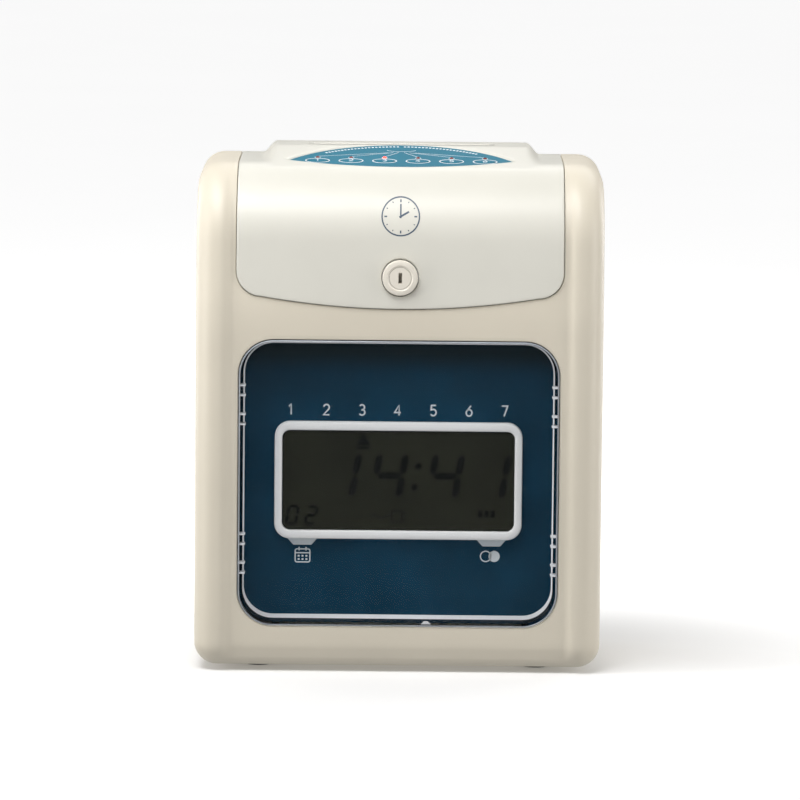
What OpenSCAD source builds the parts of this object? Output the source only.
// Punch time clock: a desk and wall recorder that prints the time on a card dropped in from the top.
// Frame: X to the right, Y to the back, Z up. The origin is under the middle of the case, on the desk.

/* [Case] */
// Width of the case
case_w = 210; // [205:1:220]
// Depth of the case, front to back
case_d = 120; // [118:1:130]
// Height of the case shoulders above the desk
shoulder_h = 261; // [259:0.5:263]
// Height of the raised card head above the desk
head_h = 267; // [266:0.5:270]
// Thickness of the moulded walls
wall = 2.5; // [2.2:0.1:2.6]
// How far the middle of the front lies behind the side columns
recess = 2.2; // [1.6:0.1:2.4]
// Width of the recessed middle of the front
recess_w = 177.4; // [175:0.2:180]
// Height of the rubber feet
foot_h = 2.5; // [2:0.5:4]

/* [Lid] */
// Width of the hinged lid
lid_w = 168; // [166:1:170]
// Height of the lid's lower edge in the middle
lid_edge_z = 189; // [188:0.5:190]
// Width of the raised card head at its foot
head_w = 143; // [140:1:146]
// Slope of the column label, in degrees
label_tilt = 11; // [9:1:12]

/* [Window] */
// Width of the clear window
window_w = 165; // [160:1:166]
// Height of the clear window
window_h = 148.5; // [146:0.5:150]
// Height of the window's lower edge above the desk
window_z = 24; // [23:0.5:25]
// Corner radius of the window
window_r = 18; // [12:1:20]
// Width of the white display frame
frame_w = 128; // [124:1:130]
// Height of the white display frame
frame_h = 61; // [58:1:62]

/* [Card] */
// Width of the card slot
slot_w = 92; // [90:1:94]
// Thickness of the card passage
slot_t = 5; // [4.6:0.1:5]

/* [Hidden] */

// Colours
cream = [0.87, 0.85, 0.80];
pale = [0.93, 0.92, 0.89];
navy = [0.05, 0.18, 0.28];
teal = [0.16, 0.42, 0.52];
steel = [0.62, 0.64, 0.66];
dark = [0.16, 0.17, 0.18];
board_green = [0.10, 0.36, 0.20];
white = [0.88, 0.89, 0.90];

// Case outline seen from the side
front_y = -case_d / 2;
back_y = case_d / 2;
base_r = 12;
brow_r = 42;
brow_lean = 6.5;
brow_foot_z = 186;
brow_y = -14;
brow_z = shoulder_h - brow_r;
back_r = 12;
arc_steps = 10;
part_y = 20;
floor_z = foot_h + wall;

// Case outline seen from the front and from above
corner_r = 12;
column_r = 12;
rear_r = 12;

// Lid
seam = 0.4;
lid_wall = 2.2;
lid_set = 1.2;
lid_corner_r = 13;
lid_arc_r = 423;
hinge_y = back_y - 3.4;
hinge_z = 248;
hinge_r = 3.4;
hinge_pin_r = 2;
pin_end = 96;
run_fit = 0.05;
rim_y = -24;
rim_z = 259;
crest_y = rim_y + (head_h - rim_z) / tan(label_tilt);
head_round = 6.5;

// Label and its keys, in the label's own tilted frame
label_z = rim_z - rim_y * tan(label_tilt);
label_half_w = 58;
label_tip_v = -11;
label_rear_v = 20;
label_front_v = -22;
dish_depth = 2;
label_t = 0.8;
key_pitch = 17.4;
key_w = 10.6;
key_l = 6;
key_v = -11;
key_gap = 0.35;
key_foot = 6;
pad_low = 4.2;
led_v = -5.2;
led_r = 1;

// Lock in the lid front
lock_z = 205;
lock_face_y = -59.8;
lock_seat_y = -56.5;
lock_bezel_r = 9.1;
lock_barrel_r = 7.5;
lock_plug_r = 5.6;

// Openings, feet and fittings of the case
screw_x = 97;
screw_rows = [14, 170];
foot_x = 72;
foot_y = 30;
keyhole_x = 60;
keyhole_z = 206;
keyhole_r = 4.5;
keyhole_slot = 4.6;
inlet_x = -74;
inlet_z = 28;
fuse_x = -46;
speaker_x = 62;
speaker_z = 120;

// Display stack, front to back
lens_face_y = -58.3;
lens_t = 2;
panel_y = -44;
panel_t = 1.6;
frame_z = 98.6;
board_y = -29.6;

// Card passage
slot_y = 29.5;
passage_front = slot_y - slot_t / 2;
passage_rear = slot_y + slot_t / 2;
sheet_t = 0.8;
funnel_w = slot_w + 5;
funnel_t = 12;

// Printer frame
plate_x = 60;
plate_t = 1.5;
web_y = -22;
frame_top = 236;
shaft_y = 6;
shaft_z = 220;
shaft_r = 3;
rail_z = 204;
rail_r = 2;
pulley_x = 50;
pulley_y = -12;
pulley_r = 5;
belt_z = 210;
shelf_z = 196;
carriage_half = 13;
cradle_y = -18;
cradle_z = 226;
knob_x = 36;
knob_y = -12;

// Card feed
feed_z = 150;
feed_roller_r = 6.2;
feed_y = passage_front - feed_roller_r + 1.6;
pinch_r = 5.4;
pinch_y = passage_rear + pinch_r - 1.4;
gear_module = 1;
gear_teeth = 36;
pinion_teeth = 12;
gear_x = 64;
gear_t = 4;
mesh_angle = 210;
mesh_gap = gear_module * (gear_teeth + pinion_teeth) / 2 + 0.1;
pinion_y = feed_y + mesh_gap * cos(mesh_angle);
pinion_z = feed_z + mesh_gap * sin(mesh_angle);

// Setting keys under the lid
setting_x = 72;
setting_z = 214;
setting_pitch = 12;

// Points of an arc, in degrees
function arc(cx, cy, r, a0, a1, n = arc_steps) =
    [for (i = [0:n]) let (a = a0 + (a1 - a0) * i / n) [cx + r * cos(a), cy + r * sin(a)]];

// Outline of a rectangle with round corners, from its lowest and highest corner
function round_box(x0, y0, x1, y1, r, n = 8) = concat(
    arc(x1 - r, y1 - r, r, 0, 90, n), arc(x0 + r, y1 - r, r, 90, 180, n),
    arc(x0 + r, y0 + r, r, 180, 270, n), arc(x1 - r, y0 + r, r, 270, 360, n));

// Ellipse with the given full width and length
function oval(w, l, n = 36) = [for (i = [0:n - 1]) [w / 2 * cos(360 * i / n), l / 2 * sin(360 * i / n)]];

// A box from its lowest to its highest corner
module block(a, b) {
    translate(a) cube(b - a);
}

// A rod along X, and one along Y
module rod_x(x0, x1, y, z, r, fn = 40) {
    translate([x0, y, z]) rotate([0, 90, 0]) cylinder(h = x1 - x0, r = r, $fn = fn);
}

module rod_y(y0, y1, x, z, r, fn = 40) {
    translate([x, y1, z]) rotate([90, 0, 0]) cylinder(h = y1 - y0, r = r, $fn = fn);
}

// Extrudes an outline drawn in Y and Z along X
module along_x(x0, x1) {
    translate([x0, 0, 0]) rotate([90, 0, 90]) linear_extrude(x1 - x0) children();
}

// Extrudes an outline drawn in X and Z along Y
module along_y(y0, y1) {
    translate([0, y1, 0]) rotate([90, 0, 0]) linear_extrude(y1 - y0) children();
}

// Places things in the label's tilted frame
module on_label() {
    translate([0, 0, label_z]) rotate([label_tilt, 0, 0]) children();
}

// ---- Case ----

// Side outline of the whole case, in Y and Z
module side_outline() {
    polygon(concat(
        arc(front_y + base_r, foot_h + base_r, base_r, 180, 270),
        arc(back_y - base_r, foot_h + base_r, base_r, 270, 360),
        arc(back_y - back_r, shoulder_h - back_r, back_r, 0, 90),
        arc(brow_y, brow_z, brow_r, 90, 180 - brow_lean, 16),
        [[front_y, brow_foot_z]]));
}

// Side outline of the recessed middle, and of the lid that stands in it
module recess_outline(depth) {
    intersection() {
        side_outline();
        translate([depth, 0]) side_outline();
    }
}

module front_outline(inset = 0) {
    half = case_w / 2 - inset;
    polygon(round_box(-half, foot_h + inset, half, shoulder_h - inset, corner_r - inset));
}

module plan_outline(inset = 0) {
    half = case_w / 2 - inset;
    polygon(concat(
        arc(half - rear_r, back_y - rear_r, rear_r - inset, 0, 90),
        arc(rear_r - half, back_y - rear_r, rear_r - inset, 90, 180),
        arc(column_r - half, front_y + column_r, column_r - inset, 180, 270),
        arc(half - column_r, front_y + column_r, column_r - inset, 270, 360)));
}

// The case as a solid block
module case_block() {
    intersection() {
        along_x(-case_w / 2, case_w / 2) side_outline();
        along_y(front_y - 1, back_y + 1) front_outline();
        linear_extrude(shoulder_h + 1) plan_outline();
    }
}

// The hollow inside the case
module case_hollow() {
    intersection() {
        along_x(wall - case_w / 2, case_w / 2 - wall) offset(delta = -wall) recess_outline(recess);
        along_y(front_y - 1, back_y + 1) front_outline(wall);
    }
}

// The cut that sets the middle of the front back from the columns
module front_recess() {
    difference() {
        block([-recess_w / 2, front_y - 1, foot_h + 6], [recess_w / 2, part_y, shoulder_h + 1]);
        along_x(-case_w / 2, case_w / 2) translate([recess, 0]) side_outline();
    }
}

// Front view of the lid, grown by the given amount
module lid_outline(grow = 0) {
    half = lid_w / 2 + grow;
    edge_x = half - lid_corner_r;
    lower = [for (i = [-8:8]) let (x = edge_x * i / 8) [x, lid_edge_z - grow + x * x / 2 / lid_arc_r]];
    side_z = lid_edge_z - grow + edge_x * edge_x / 2 / lid_arc_r + lid_corner_r;
    polygon(concat(
        [[-half, head_h + 5]],
        arc(-edge_x, side_z, lid_corner_r, 180, 262, 8),
        lower,
        arc(edge_x, side_z, lid_corner_r, 278, 360, 8),
        [[half, head_h + 5]]));
}

// Space that the lid and its rear barrel take out of the case
module lid_opening() {
    along_y(front_y - 1, part_y + 15) lid_outline(seam);
    block([-lid_w / 2 - seam, part_y, hinge_z - 4.2], [lid_w / 2 + seam, back_y + 1, head_h]);
}

module window_plate(grow, y0, y1) {
    half = window_w / 2 + grow;
    along_y(y0, y1)
        polygon(round_box(-half, window_z - grow, half, window_z + window_h + grow, window_r + grow));
}

module front_cover() {
    color(cream) {
        difference() {
            case_block();
            case_hollow();
            front_recess();
            lid_opening();
            window_plate(seam, front_y - 1, front_y + 12);
            block([-case_w, part_y, 0], [case_w, case_d, head_h + 1]);
        }
        for (x = [-screw_x, screw_x], z = screw_rows)
            difference() {
                rod_y(front_y + 4, part_y - 4, x, z, 4.5);
                rod_y(0, part_y, x, z, 1.6);
            }
    }
}

module keyhole(x) {
    rod_y(back_y - 5, back_y + 5, x, keyhole_z, keyhole_r);
    block([x - keyhole_slot / 2, back_y - 5, keyhole_z], [x + keyhole_slot / 2, back_y + 5, keyhole_z + 11]);
}

module rear_cover() {
    vents = 9;
    color(cream) {
        difference() {
            case_block();
            case_hollow();
            lid_opening();
            block([-case_w, -case_d, 0], [case_w, part_y + 0.2, head_h + 1]);
            for (x = [-keyhole_x, keyhole_x]) keyhole(x);
            block([inlet_x - 12.2, back_y - 5, inlet_z - 9.2], [inlet_x + 12.2, back_y + 5, inlet_z + 9.2]);
            rod_y(back_y - 5, back_y + 5, fuse_x, inlet_z, 6.2);
            for (i = [0:vents - 1])
                block([-22 + i * 8, back_y - 5, 40], [-18 + i * 8, back_y + 5, 76]);
            for (i = [-3:3])
                block([speaker_x - 16, back_y - 5, speaker_z - 1 + i * 5],
                      [speaker_x + 16, back_y + 5, speaker_z + 1 + i * 5]);
            for (x = [-screw_x, screw_x], z = screw_rows) rod_y(back_y - 5, back_y + 5, x, z, 3.6);
            rod_x(-pin_end, pin_end, hinge_y, hinge_z, hinge_pin_r);
        }
        for (x = [-screw_x, screw_x], z = screw_rows)
            difference() {
                rod_y(part_y + 0.2, back_y - 1.5, x, z, 6);
                rod_y(part_y - 1, back_y + 5, x, z, 1.8);
                rod_y(part_y + 10, back_y + 5, x, z, 3.6);
            }
        for (s = [-1, 1])
            difference() {
                block([s * 93 - 7.5, hinge_y - 8, hinge_z - 5], [s * 93 + 7.5, back_y - 1.6, hinge_z + 4]);
                rod_x(-case_w / 2, case_w / 2, hinge_y, hinge_z, hinge_pin_r);
            }
    }
}

module hinge_pins() {
    pin_length = 18;
    color(steel) {
        rod_x(-pin_end, pin_length - pin_end, hinge_y, hinge_z, hinge_pin_r);
        rod_x(pin_end - pin_length, pin_end, hinge_y, hinge_z, hinge_pin_r);
    }
}

module cover_screws() {
    color(steel) for (x = [-screw_x, screw_x], z = screw_rows) {
        rod_y(part_y - 10, part_y + 10, x, z, 1.55, 24);
        difference() {
            rod_y(part_y + 10, part_y + 12.4, x, z, 3.2, 24);
            block([x - 0.5, part_y + 11.4, z - 2.2], [x + 0.5, part_y + 13, z + 2.2]);
            block([x - 2.2, part_y + 11.4, z - 0.5], [x + 2.2, part_y + 13, z + 0.5]);
        }
    }
}

module rubber_feet() {
    color(dark) for (x = [-foot_x, foot_x], y = [-foot_y, foot_y])
        translate([x, y, 0]) cylinder(h = foot_h, r = 7, $fn = 40);
}

module base_plate() {
    color(steel) difference() {
            block([-86, -44, floor_z], [86, 47.5, floor_z + 1.2]);
        for (x = [-foot_x, foot_x], y = [-foot_y, foot_y])
            translate([x, y, floor_z - 1]) cylinder(h = 4, r = 2, $fn = 24);
    }
}

// ---- Window and display ----

module window_lens() {
    clip_z = [window_z + 26.7, window_z + 104];
    color([0.80, 0.88, 0.92, 0.35]) {
        difference() {
            union() {
                window_plate(0, lens_face_y, panel_y);
                window_plate(4, front_y + 5, front_y + 7);
            }
            window_plate(-2.2, lens_face_y + lens_t, panel_y + 1);
            for (s = [-1, 1], z = clip_z, k = [0, 15])
                block([s * window_w / 2 - 3, -49, z + k], [s * window_w / 2 + 3, -46, z + k + 6]);
        }
    }
}

module display_panel() {
    color(navy) along_y(panel_y, panel_y + panel_t)
        polygon(round_box(-window_w / 2, window_z, window_w / 2, window_z + window_h, window_r));
}

module lcd_frame() {
    half_w = frame_w / 2;
    half_h = frame_h / 2;
    color(white) along_y(panel_y - 4, panel_y) difference() {
        polygon(round_box(-half_w, frame_z - half_h, half_w, frame_z + half_h, 8));
        polygon(round_box(4 - half_w, frame_z - half_h + 4.5, half_w - 4, frame_z + half_h - 4.5, 4));
    }
}

module lcd_module() {
    half_w = frame_w / 2 - 4.3;
    half_h = frame_h / 2 - 4.8;
    color(dark) along_y(panel_y - 2.8, panel_y)
        polygon(round_box(-half_w, frame_z - half_h, half_w, frame_z + half_h, 3.7));
}

// A row of small chips and capacitors on a board that faces the back
module board_parts(parts, y) {
    for (p = parts)
        block([p[0], min(y, y + p[4]), p[1]], [p[0] + p[2], max(y, y + p[4]), p[1] + p[3]]);
}

module lcd_board() {
    color(board_green) {
        block([-66, panel_y + 4.8, frame_z - 34], [66, panel_y + 6.4, frame_z + 34]);
        board_parts([[-50, 80, 22, 22, 2.4], [-16, 76, 12, 8, 2.2], [10, 84, 30, 12, 3], [46, 110, 10, 10, 4]],
                    panel_y + 6.4);
        for (x = [-60, 60], z = [frame_z - 30, frame_z + 30])
            rod_y(panel_y + panel_t, panel_y + 4.8, x, z, 2.5, 24);
    }
}

module main_board() {
    color(board_green) difference() {
        union() {
            block([-58, board_y, 34], [58, board_y + 1.6, 158]);
            board_parts([[-30, 90, 30, 30, -2.4], [10, 100, 14, 8, -2.2], [10, 120, 20, 8, -2.2],
                         [-50, 130, 8, 20, -4], [-46, 44, 40, 6, -5], [10, 44, 40, 6, -5]], board_y);
            for (p = [[-44, 70, 5], [-30, 72, 4], [34, 74, 6], [48, 92, 4]])
                rod_y(board_y - 7, board_y, p[0], p[1], p[2], 28);
        }
        for (x = [-52, 52], z = [40, 152]) rod_y(board_y - 1, board_y + 3, x, z, 1.5, 24);
    }
}

module board_standoffs() {
    color([0.80, 0.66, 0.30]) for (x = [-52, 52], z = [40, 152]) {
        rod_y(board_y + 1.6, web_y, x, z, 2.8, 24);
        rod_y(board_y - 1.8, board_y, x, z, 2.6, 24);
        rod_y(board_y, board_y + 1.6, x, z, 1.5, 24);
    }
}

// ---- Power and sound ----

module transformer() {
    color(dark) {
        block([-91, -10, floor_z + 1.2], [-63, 34, floor_z + 4]);
        block([-89, -8, floor_z + 4], [-65, 32, floor_z + 42]);
        block([-91, 2, floor_z + 14], [-63, 22, floor_z + 32]);
    }
}

module battery_pack() {
    color([0.15, 0.35, 0.60]) {
        for (i = [0:3]) translate([75, -28 + i * 14.6, floor_z + 4]) cylinder(h = 48, r = 7.2, $fn = 40);
        block([66, -36, floor_z + 1.2], [84, 24, floor_z + 8]);
    }
}

module chime_speaker() {
    color(dark) {
        difference() {
            rod_y(back_y - 8, back_y - wall - 0.2, speaker_x, speaker_z, 19);
            rod_y(back_y - 6, back_y, speaker_x, speaker_z, 16.5);
        }
        rod_y(back_y - 12, back_y - 8, speaker_x, speaker_z, 12);
    }
}

module power_inlet() {
    color(dark) difference() {
        union() {
            block([inlet_x - 12, back_y - 18, inlet_z - 9], [inlet_x + 12, back_y, inlet_z + 9]);
            block([inlet_x - 15, back_y - wall - 2, inlet_z - 12], [inlet_x + 15, back_y - wall, inlet_z + 12]);
        }
        along_y(back_y - 14, back_y + 1)
            polygon(round_box(inlet_x - 9, inlet_z - 5.5, inlet_x + 9, inlet_z + 5.5, 5));
    }
    color(steel) for (x = [-4.3, 4.3]) rod_y(back_y - 14.5, back_y - 3, inlet_x + x, inlet_z, 1.2, 24);
}

module fuse_cap() {
    color(dark) difference() {
        union() {
            rod_y(back_y - 24, back_y - 0.4, fuse_x, inlet_z, 6);
            rod_y(back_y - 0.4, back_y, fuse_x, inlet_z, 5.4);
        }
        block([fuse_x - 4, back_y - 1.2, inlet_z - 0.7], [fuse_x + 4, back_y + 1, inlet_z + 0.7]);
    }
}

// ---- Printer ----

module printer_frame() {
    color(steel) difference() {
        union() {
            for (s = [-1, 1])
                block([s * (plate_x + plate_t / 2) - plate_t / 2, web_y, floor_z + 1.2],
                      [s * (plate_x + plate_t / 2) + plate_t / 2, 44, frame_top]);
            block([-plate_x, web_y, floor_z + 1.2], [plate_x, web_y + plate_t, 184]);
        }
        rod_x(-70, 70, shaft_y, shaft_z, shaft_r);
        rod_x(-70, 70, shaft_y, rail_z, rail_r);
        rod_x(-70, 70, feed_y, feed_z, 3 + run_fit);
        rod_x(-70, 70, pinch_y, feed_z, 2 + run_fit);
        rod_x(-70, 70, cradle_y, cradle_z, 2 + run_fit);
        rod_x(0, 70, pinion_y, pinion_z, 5);
        block([-40, web_y - 1, 60], [40, web_y + 3, 130]);
        for (y = [-16, 38]) block([-70, y - 5, 100], [70, y + 3, 130]);
    }
}

// A sheet beside the card, with windows for the feed rollers
module card_sheet(y0, z1) {
    difference() {
        block([-plate_x, y0, 20], [plate_x, y0 + sheet_t, z1]);
        for (x = [-26, 26]) block([x - 10, y0 - 1, feed_z - 9], [x + 10, y0 + 2, feed_z + 9]);
    }
}

module card_guide_front() {
    color(steel) card_sheet(passage_front - sheet_t, 197);
}

module card_guide_rear() {
    color(steel) card_sheet(passage_rear, 204);
}

module card_stop() {
    color(dark) {
        block([-20, passage_front - 8, 22], [20, passage_front - sheet_t, 34]);
        block([-20, passage_front - 8, 17], [20, passage_rear + 8, 20]);
        block([-20, passage_rear + sheet_t, 22], [20, passage_rear + 8, 34]);
        block([-20, passage_front - 8, 20], [20, passage_front - 4, 22]);
        block([-20, passage_rear + 4, 20], [20, passage_rear + 8, 22]);
    }
}

module platen() {
    color(dark) {
        block([-plate_x, passage_rear, 204.5], [plate_x, passage_rear + 1.5, 232]);
        block([-plate_x, passage_rear + 1.5, 207], [plate_x, passage_rear + 6, 229]);
    }
}

module guide_shaft() {
    color(steel) rod_x(-plate_x - 3, plate_x + 3, shaft_y, shaft_z, shaft_r);
}

module guide_rail() {
    color(steel) rod_x(-plate_x - 3, plate_x + 3, shaft_y, rail_z, rail_r);
}

module motor_shelf() {
    color(steel) difference() {
        block([-plate_x, web_y + plate_t, shelf_z], [plate_x, 0, shelf_z + 1.5]);
        translate([-pulley_x, pulley_y, shelf_z - 1]) cylinder(h = 4, r = 3.4, $fn = 32);
        translate([pulley_x, pulley_y, shelf_z - 1]) cylinder(h = 4, r = 1.5 + run_fit, $fn = 32);
    }
}

module carriage_motor() {
    color(dark) difference() {
        union() {
            translate([-pulley_x + 4, pulley_y + 6, shelf_z - 30]) cylinder(h = 28, r = 13, $fn = 48);
            translate([-pulley_x, pulley_y, shelf_z - 2]) cylinder(h = 2, r = 6, $fn = 32);
        }
        translate([-pulley_x, pulley_y, shelf_z - 20]) cylinder(h = 30, r = 1 + run_fit, $fn = 24);
    }
}

// A flanged pulley on its own spindle
module pulley(x, spindle_r, spindle_low) {
    translate([x, pulley_y, 0]) {
        translate([0, 0, belt_z - 3.2]) cylinder(h = 1, r = pulley_r + 1, $fn = 40);
        translate([0, 0, belt_z - 2.4]) cylinder(h = 4.8, r = pulley_r, $fn = 40);
        translate([0, 0, belt_z + 2.2]) cylinder(h = 1, r = pulley_r + 1, $fn = 40);
        translate([0, 0, spindle_low]) cylinder(h = belt_z + 6 - spindle_low, r = spindle_r, $fn = 32);
    }
}

module drive_pulley() {
    color(white) pulley(-pulley_x, 1, shelf_z - 12);
}

module idler_pulley() {
    color(white) pulley(pulley_x, 1.5, shelf_z - 3);
}

module drive_belt() {
    inner = pulley_r + 0.3;
    outer = inner + 0.9;
    color(dark) translate([0, pulley_y, belt_z - 1.8]) linear_extrude(3.6) difference() {
        polygon(concat(arc(pulley_x, 0, outer, -90, 90, 16), arc(-pulley_x, 0, outer, 90, 270, 16)));
        polygon(concat(arc(pulley_x, 0, inner, -90, 90, 16), arc(-pulley_x, 0, inner, 90, 270, 16)));
    }
}

module carriage() {
    color(dark) difference() {
        union() {
            block([-carriage_half, -1, 199], [carriage_half, 13, 227]);
            block([-carriage_half, -7, 212.2], [carriage_half, -1, 216]);
        }
        rod_x(-20, 20, shaft_y, shaft_z, shaft_r + run_fit);
        rod_x(-20, 20, shaft_y, rail_z, rail_r + run_fit);
        block([-9, 9, 205], [9, 14, 228]);
    }
}

module print_head() {
    color(steel) {
        block([-9, 9, 205.5], [9, 16, 227]);
        for (i = [0:5]) block([-9, 16, 206 + i * 3.4], [9, 18.5, 207.6 + i * 3.4]);
        block([-5, 16, 214], [5, 22, 224]);
        block([-2.2, 22, 215], [2.2, 25.2, 223]);
    }
}

module ribbon_cartridge() {
    color(dark) {
        block([-52, -30, 232], [52, 6, 242]);
        for (s = [-1, 1]) {
            block([s * 47 - 5, 6, 232], [s * 47 + 5, 24.4, 242]);
            block([s * 47 - 5, 14, 213], [s * 47 + 5, 24.4, 232]);
        }
    }
}

module ink_ribbon() {
    color([0.20, 0.12, 0.30]) block([-42, 25.6, 214.5], [42, 25.8, 226.5]);
    color([0.20, 0.12, 0.30]) for (s = [-1, 1])
        block([s * 46 - 4, 24.4, 214.5], [s * 46 + 4, 25.8, 226.5]);
}

module ribbon_knob() {
    color(white) translate([knob_x, knob_y, 242.3]) {
        cylinder(h = 2.6, r = 6.5, $fn = 48);
        for (i = [0:5]) rotate([0, 0, i * 60]) translate([6.5, 0, 0]) cylinder(h = 2.6, r = 1.1, $fn = 24);
    }
}

// Half of an involute tooth, as radius and angle, and the outline of a spur gear
function roll(r, base) = sqrt(pow(max(r / base, 1), 2) - 1) * 180 / PI - acos(min(base / r, 1));
function gear_outline(teeth, m, slack) =
    let (pitch_r = m * teeth / 2, base = pitch_r * cos(20), tip = pitch_r + 0.9 * m,
         root = pitch_r - 1.2 * m, half = 90 / teeth - slack / pitch_r * 90 / PI + roll(pitch_r, base),
         radii = [for (k = [0:4]) max(base, root) + (tip - max(base, root)) * k / 4])
    [for (i = [0:teeth - 1]) let (c = 360 * i / teeth) each concat(
        [[root * cos(c - half), root * sin(c - half)]],
        [for (r = radii) let (a = c - half + roll(r, base)) [r * cos(a), r * sin(a)]],
        [for (k = [4:-1:0]) let (r = radii[k], a = c + half - roll(r, base)) [r * cos(a), r * sin(a)]],
        [[root * cos(c + half), root * sin(c + half)]])];

module feed_motor() {
    color(dark) difference() {
        union() {
            rod_x(34, plate_x - 0.2, pinion_y, pinion_z, 14);
            rod_x(30, 34, pinion_y, pinion_z, 4);
        }
        rod_x(40, 70, pinion_y, pinion_z, 1 + run_fit);
    }
}

// The pinion's teeth are turned so that a gap faces a tooth of the gear
module motor_pinion() {
    color(white) {
        translate([gear_x - 0.5, pinion_y, pinion_z]) rotate([90, 0, 90])
            rotate([0, 0, mesh_angle + 180 + 180 / pinion_teeth])
                linear_extrude(gear_t + 1) polygon(gear_outline(pinion_teeth, gear_module, 0.2));
        rod_x(46, gear_x + 8, pinion_y, pinion_z, 1);
    }
}

module feed_shaft() {
    color(steel) rod_x(-plate_x - 4, gear_x + 8, feed_y, feed_z, 3);
    color(dark) for (x = [-26, 26]) rod_x(x - 8, x + 8, feed_y, feed_z, feed_roller_r);
    color(white) translate([gear_x, feed_y, feed_z]) rotate([90, 0, 90])
        rotate([0, 0, mesh_angle])
            linear_extrude(gear_t) polygon(gear_outline(gear_teeth, gear_module, 0.2));
}

module pinch_shaft() {
    color(steel) rod_x(-plate_x - 3, plate_x + 3, pinch_y, feed_z, 2);
    color(dark) for (x = [-26, 26]) rod_x(x - 7, x + 7, pinch_y, feed_z, pinch_r);
}

// ---- Setting keys under the lid ----

module setting_board() {
    color(board_green) {
        block([plate_x + plate_t, -30, 190], [82, -28.4, 240]);
        for (k = [-1:1]) block([setting_x - 3, -33.5, setting_z + k * setting_pitch - 3],
                               [setting_x + 3, -30, setting_z + k * setting_pitch + 3]);
    }
}

module setting_key(k) {
    z = setting_z + (k - 2) * setting_pitch;
    color(white) {
        rod_y(-40, -35.2, setting_x, z, 3.5, 32);
        rod_y(-36, -35, setting_x, z, 4.2, 32);
    }
}

module setting_key_1() setting_key(1);
module setting_key_2() setting_key(2);
module setting_key_3() setting_key(3);

// ---- Lid ----

// Side outline of the raised card head
module head_outline() {
    polygon(concat(
        [[-40, 240], [back_y - 10, 240], [back_y, hinge_z]],
        arc(back_y - back_r, head_h - back_r, back_r, 0, 90),
        [[crest_y, head_h], [rim_y, rim_z]]));
}

module head_front_outline(inset = 0) {
    half = head_w / 2 - inset;
    polygon(round_box(-half, 200, half, head_h - inset, head_round - inset));
}

// Curve from one label tip to the other through the middle of its edge
function label_arc(tip_v, mid_v, half_w, n = 24) =
    let (rise = mid_v - tip_v, r = (half_w * half_w + rise * rise) / (2 * abs(rise)), side = sign(rise))
    [for (i = [0:n]) let (u = half_w * cos(180 * i / n))
        [u * side, mid_v - side * r + side * sqrt(r * r - u * u)]];

module label_outline() {
    polygon(concat(label_arc(label_tip_v, label_rear_v, label_half_w),
                   label_arc(label_tip_v, label_front_v, label_half_w)));
}

// Places things at each column key
module at_keys() {
    for (k = [-2.5:2.5]) translate([k * key_pitch, key_v, 0]) children();
}

// The lid's outer and inner surface as solid blocks
module lid_block(inset, lip = 0) {
    half = lid_w / 2 - lip;
    intersection() {
        along_x(-half, half) offset(delta = -inset) recess_outline(lid_set);
        along_y(front_y - 1, back_y + 1) lid_outline(lip == 0 ? 0 : 30);
    }
}

module head_block(inset) {
    intersection() {
        along_x(-head_w / 2, head_w / 2) offset(delta = -inset) head_outline();
        along_y(-60, back_y + 1) head_front_outline(inset);
    }
}

module lid() {
    lip_depth = 5;
    color(pale) difference() {
        union() {
            difference() {
                union() {
                    lid_block(0);
                    head_block(0);
                }
                lid_block(lid_wall, lid_wall);
                lid_block(lip_depth);
                head_block(lid_wall);
                block([-lid_w, -20, 0], [lid_w, case_d, hinge_z]);
            }
            rod_x(-lid_w / 2, lid_w / 2, hinge_y, hinge_z, hinge_r);
            on_label() translate([0, 0, -pad_low]) linear_extrude(pad_low - dish_depth)
                intersection() {
                    offset(delta = 2) label_outline();
                    square([2 * label_half_w - 4, 60], center = true);
                }
        }
        for (s = [-1, 1]) rod_x(s * 88 - 11, s * 88 + 11, hinge_y, hinge_z, hinge_pin_r + run_fit);
        on_label() {
            translate([0, 0, -dish_depth]) linear_extrude(10) label_outline();
            translate([0, 0, -10]) linear_extrude(20) at_keys()
                polygon(oval(key_w + 2 * key_gap, key_l + 2 * key_gap));
        }
        block([-funnel_w / 2, slot_y - funnel_t / 2, 240], [funnel_w / 2, slot_y + funnel_t / 2, head_h + 1]);
        rod_y(front_y - 5, lock_seat_y, 0, lock_z, lock_bezel_r + 0.2);
        rod_y(front_y, front_y + 12, 0, lock_z, lock_barrel_r + 0.3);
    }
}

module column_label() {
    color(teal) on_label() translate([0, 0, -dish_depth]) linear_extrude(label_t) difference() {
        offset(delta = -0.2) label_outline();
        at_keys() polygon(oval(key_w + 2 * key_gap, key_l + 2 * key_gap));
        at_keys() translate([0, led_v - key_v]) circle(r = led_r, $fn = 24);
    }
}

module column_leds() {
    color([0.75, 0.15, 0.12]) on_label() at_keys()
        translate([0, led_v - key_v, -dish_depth]) cylinder(h = label_t + 0.4, r = led_r, $fn = 24);
}

// One column key, counted from the left
module column_key(k) {
    color(teal) on_label() translate([(k - 3.5) * key_pitch, key_v, 0]) {
        translate([0, 0, -key_foot]) linear_extrude(key_foot - 0.5) polygon(oval(key_w, key_l));
        translate([0, 0, -key_foot]) linear_extrude(1.2) polygon(oval(key_w + 2, key_l + 2));
    }
}

module column_key_1() column_key(1);
module column_key_2() column_key(2);
module column_key_3() column_key(3);
module column_key_4() column_key(4);
module column_key_5() column_key(5);
module column_key_6() column_key(6);

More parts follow.
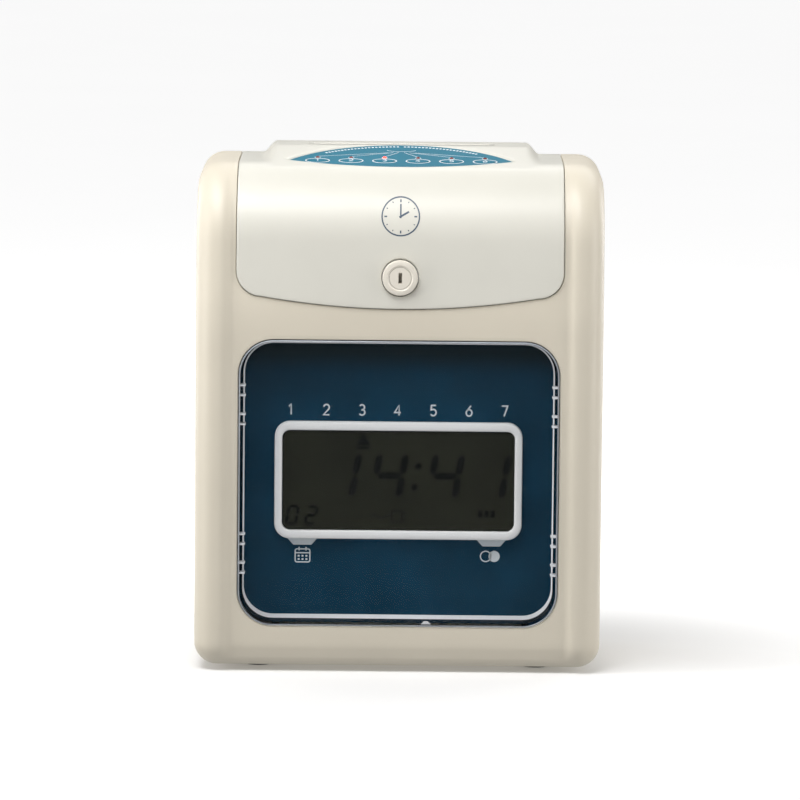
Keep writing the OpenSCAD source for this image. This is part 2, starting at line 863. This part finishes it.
module key_board() {
    switch_h = 3.4;
    color(board_green) on_label() {
        block([-54, key_v - 6, -key_foot - 1.1 - switch_h - 1.6], [54, key_v + 6, -key_foot - 1.1 - switch_h]);
        at_keys() block([-3, -3, -key_foot - 1.1 - switch_h], [3, 3, -key_foot - 1.1]);
        for (u = [-52.1, 52.1]) translate([u, key_v, -key_foot - 1.1 - switch_h])
            cylinder(h = switch_h + key_foot + 1.1 - pad_low, r = 1.8, $fn = 24);
    }
}

module card_funnel() {
    color(dark) difference() {
        union() {
            block([-funnel_w / 2, slot_y - funnel_t / 2, 250], [funnel_w / 2, slot_y + funnel_t / 2, head_h]);
            block([-funnel_w / 2 - 3, slot_y - funnel_t / 2 - 0.8, head_h - lid_wall - 2],
                  [funnel_w / 2 + 3, slot_y + funnel_t / 2 + 3, head_h - lid_wall]);
        }
        block([-slot_w / 2, passage_front, 240], [slot_w / 2, passage_rear, head_h + 1]);
        along_x(-slot_w / 2, slot_w / 2)
            polygon([[slot_y, head_h - 8], [slot_y + 5, head_h + 2], [slot_y - 5, head_h + 2]]);
    }
}

module lock_bezel() {
    color(pale) difference() {
        union() {
            rod_y(lock_face_y + 0.8, lock_seat_y, 0, lock_z, lock_bezel_r, 64);
            translate([0, lock_face_y + 0.8, lock_z]) rotate([90, 0, 0])
                cylinder(h = 0.8, r1 = lock_bezel_r, r2 = lock_bezel_r - 0.9, $fn = 64);
            rod_y(lock_seat_y, -47, 0, lock_z, lock_barrel_r, 48);
        }
        rod_y(front_y - 1, -40, 0, lock_z, lock_plug_r + run_fit, 48);
    }
}

// The plug with its keyhole, and the latch arm at its back
module lock_plug() {
    color(steel) {
        difference() {
            rod_y(lock_face_y + 0.3, -44, 0, lock_z, lock_plug_r, 48);
            block([-0.9, front_y - 1, lock_z - 2.7], [0.9, lock_face_y + 7, lock_z + 2.7]);
        }
        block([-4.5, -46, lock_z - 4.5], [22, -44.5, lock_z + 4.5]);
    }
}

module lock_nut() {
    color(steel) difference() {
        rod_y(-52.8, -49.8, 0, lock_z, 11, 6);
        rod_y(-54, -48, 0, lock_z, lock_barrel_r + run_fit, 48);
    }
}

module ribbon_cradle() {
    color(steel) {
        difference() {
            block([-58, -26, 229.6], [58, 2, 231.2]);
            block([-40, -20, 229], [40, -4, 233]);
        }
        for (s = [-1, 1]) {
            block([s * 57 - 1, cradle_y - 4, cradle_z - 3], [s * 57 + 1, cradle_y + 4, 229.6]);
            rod_x(s * 60 - 3, s * 60 + 3, cradle_y, cradle_z, 2, 32);
        }
    }
}

// Each part is drawn when its own name, or "all", is chosen
front_cover();
rear_cover();
window_lens();
display_panel();
lcd_frame();
lcd_module();
lcd_board();
main_board();
board_standoffs();
transformer();
battery_pack();
chime_speaker();
power_inlet();
fuse_cap();
base_plate();
rubber_feet();
cover_screws();
hinge_pins();
printer_frame();
card_guide_front();
card_guide_rear();
card_stop();
platen();
guide_shaft();
guide_rail();
drive_belt();
carriage_motor();
drive_pulley();
idler_pulley();
motor_shelf();
carriage();
print_head();
ribbon_cradle();
ribbon_cartridge();
ink_ribbon();
ribbon_knob();
feed_motor();
motor_pinion();
feed_shaft();
pinch_shaft();
setting_board();
setting_key_1();
setting_key_2();
setting_key_3();
lid();
column_label();
column_leds();
key_board();
column_key_1();
column_key_2();
column_key_3();
column_key_4();
column_key_5();
column_key_6();
card_funnel();
lock_bezel();
lock_plug();
lock_nut();
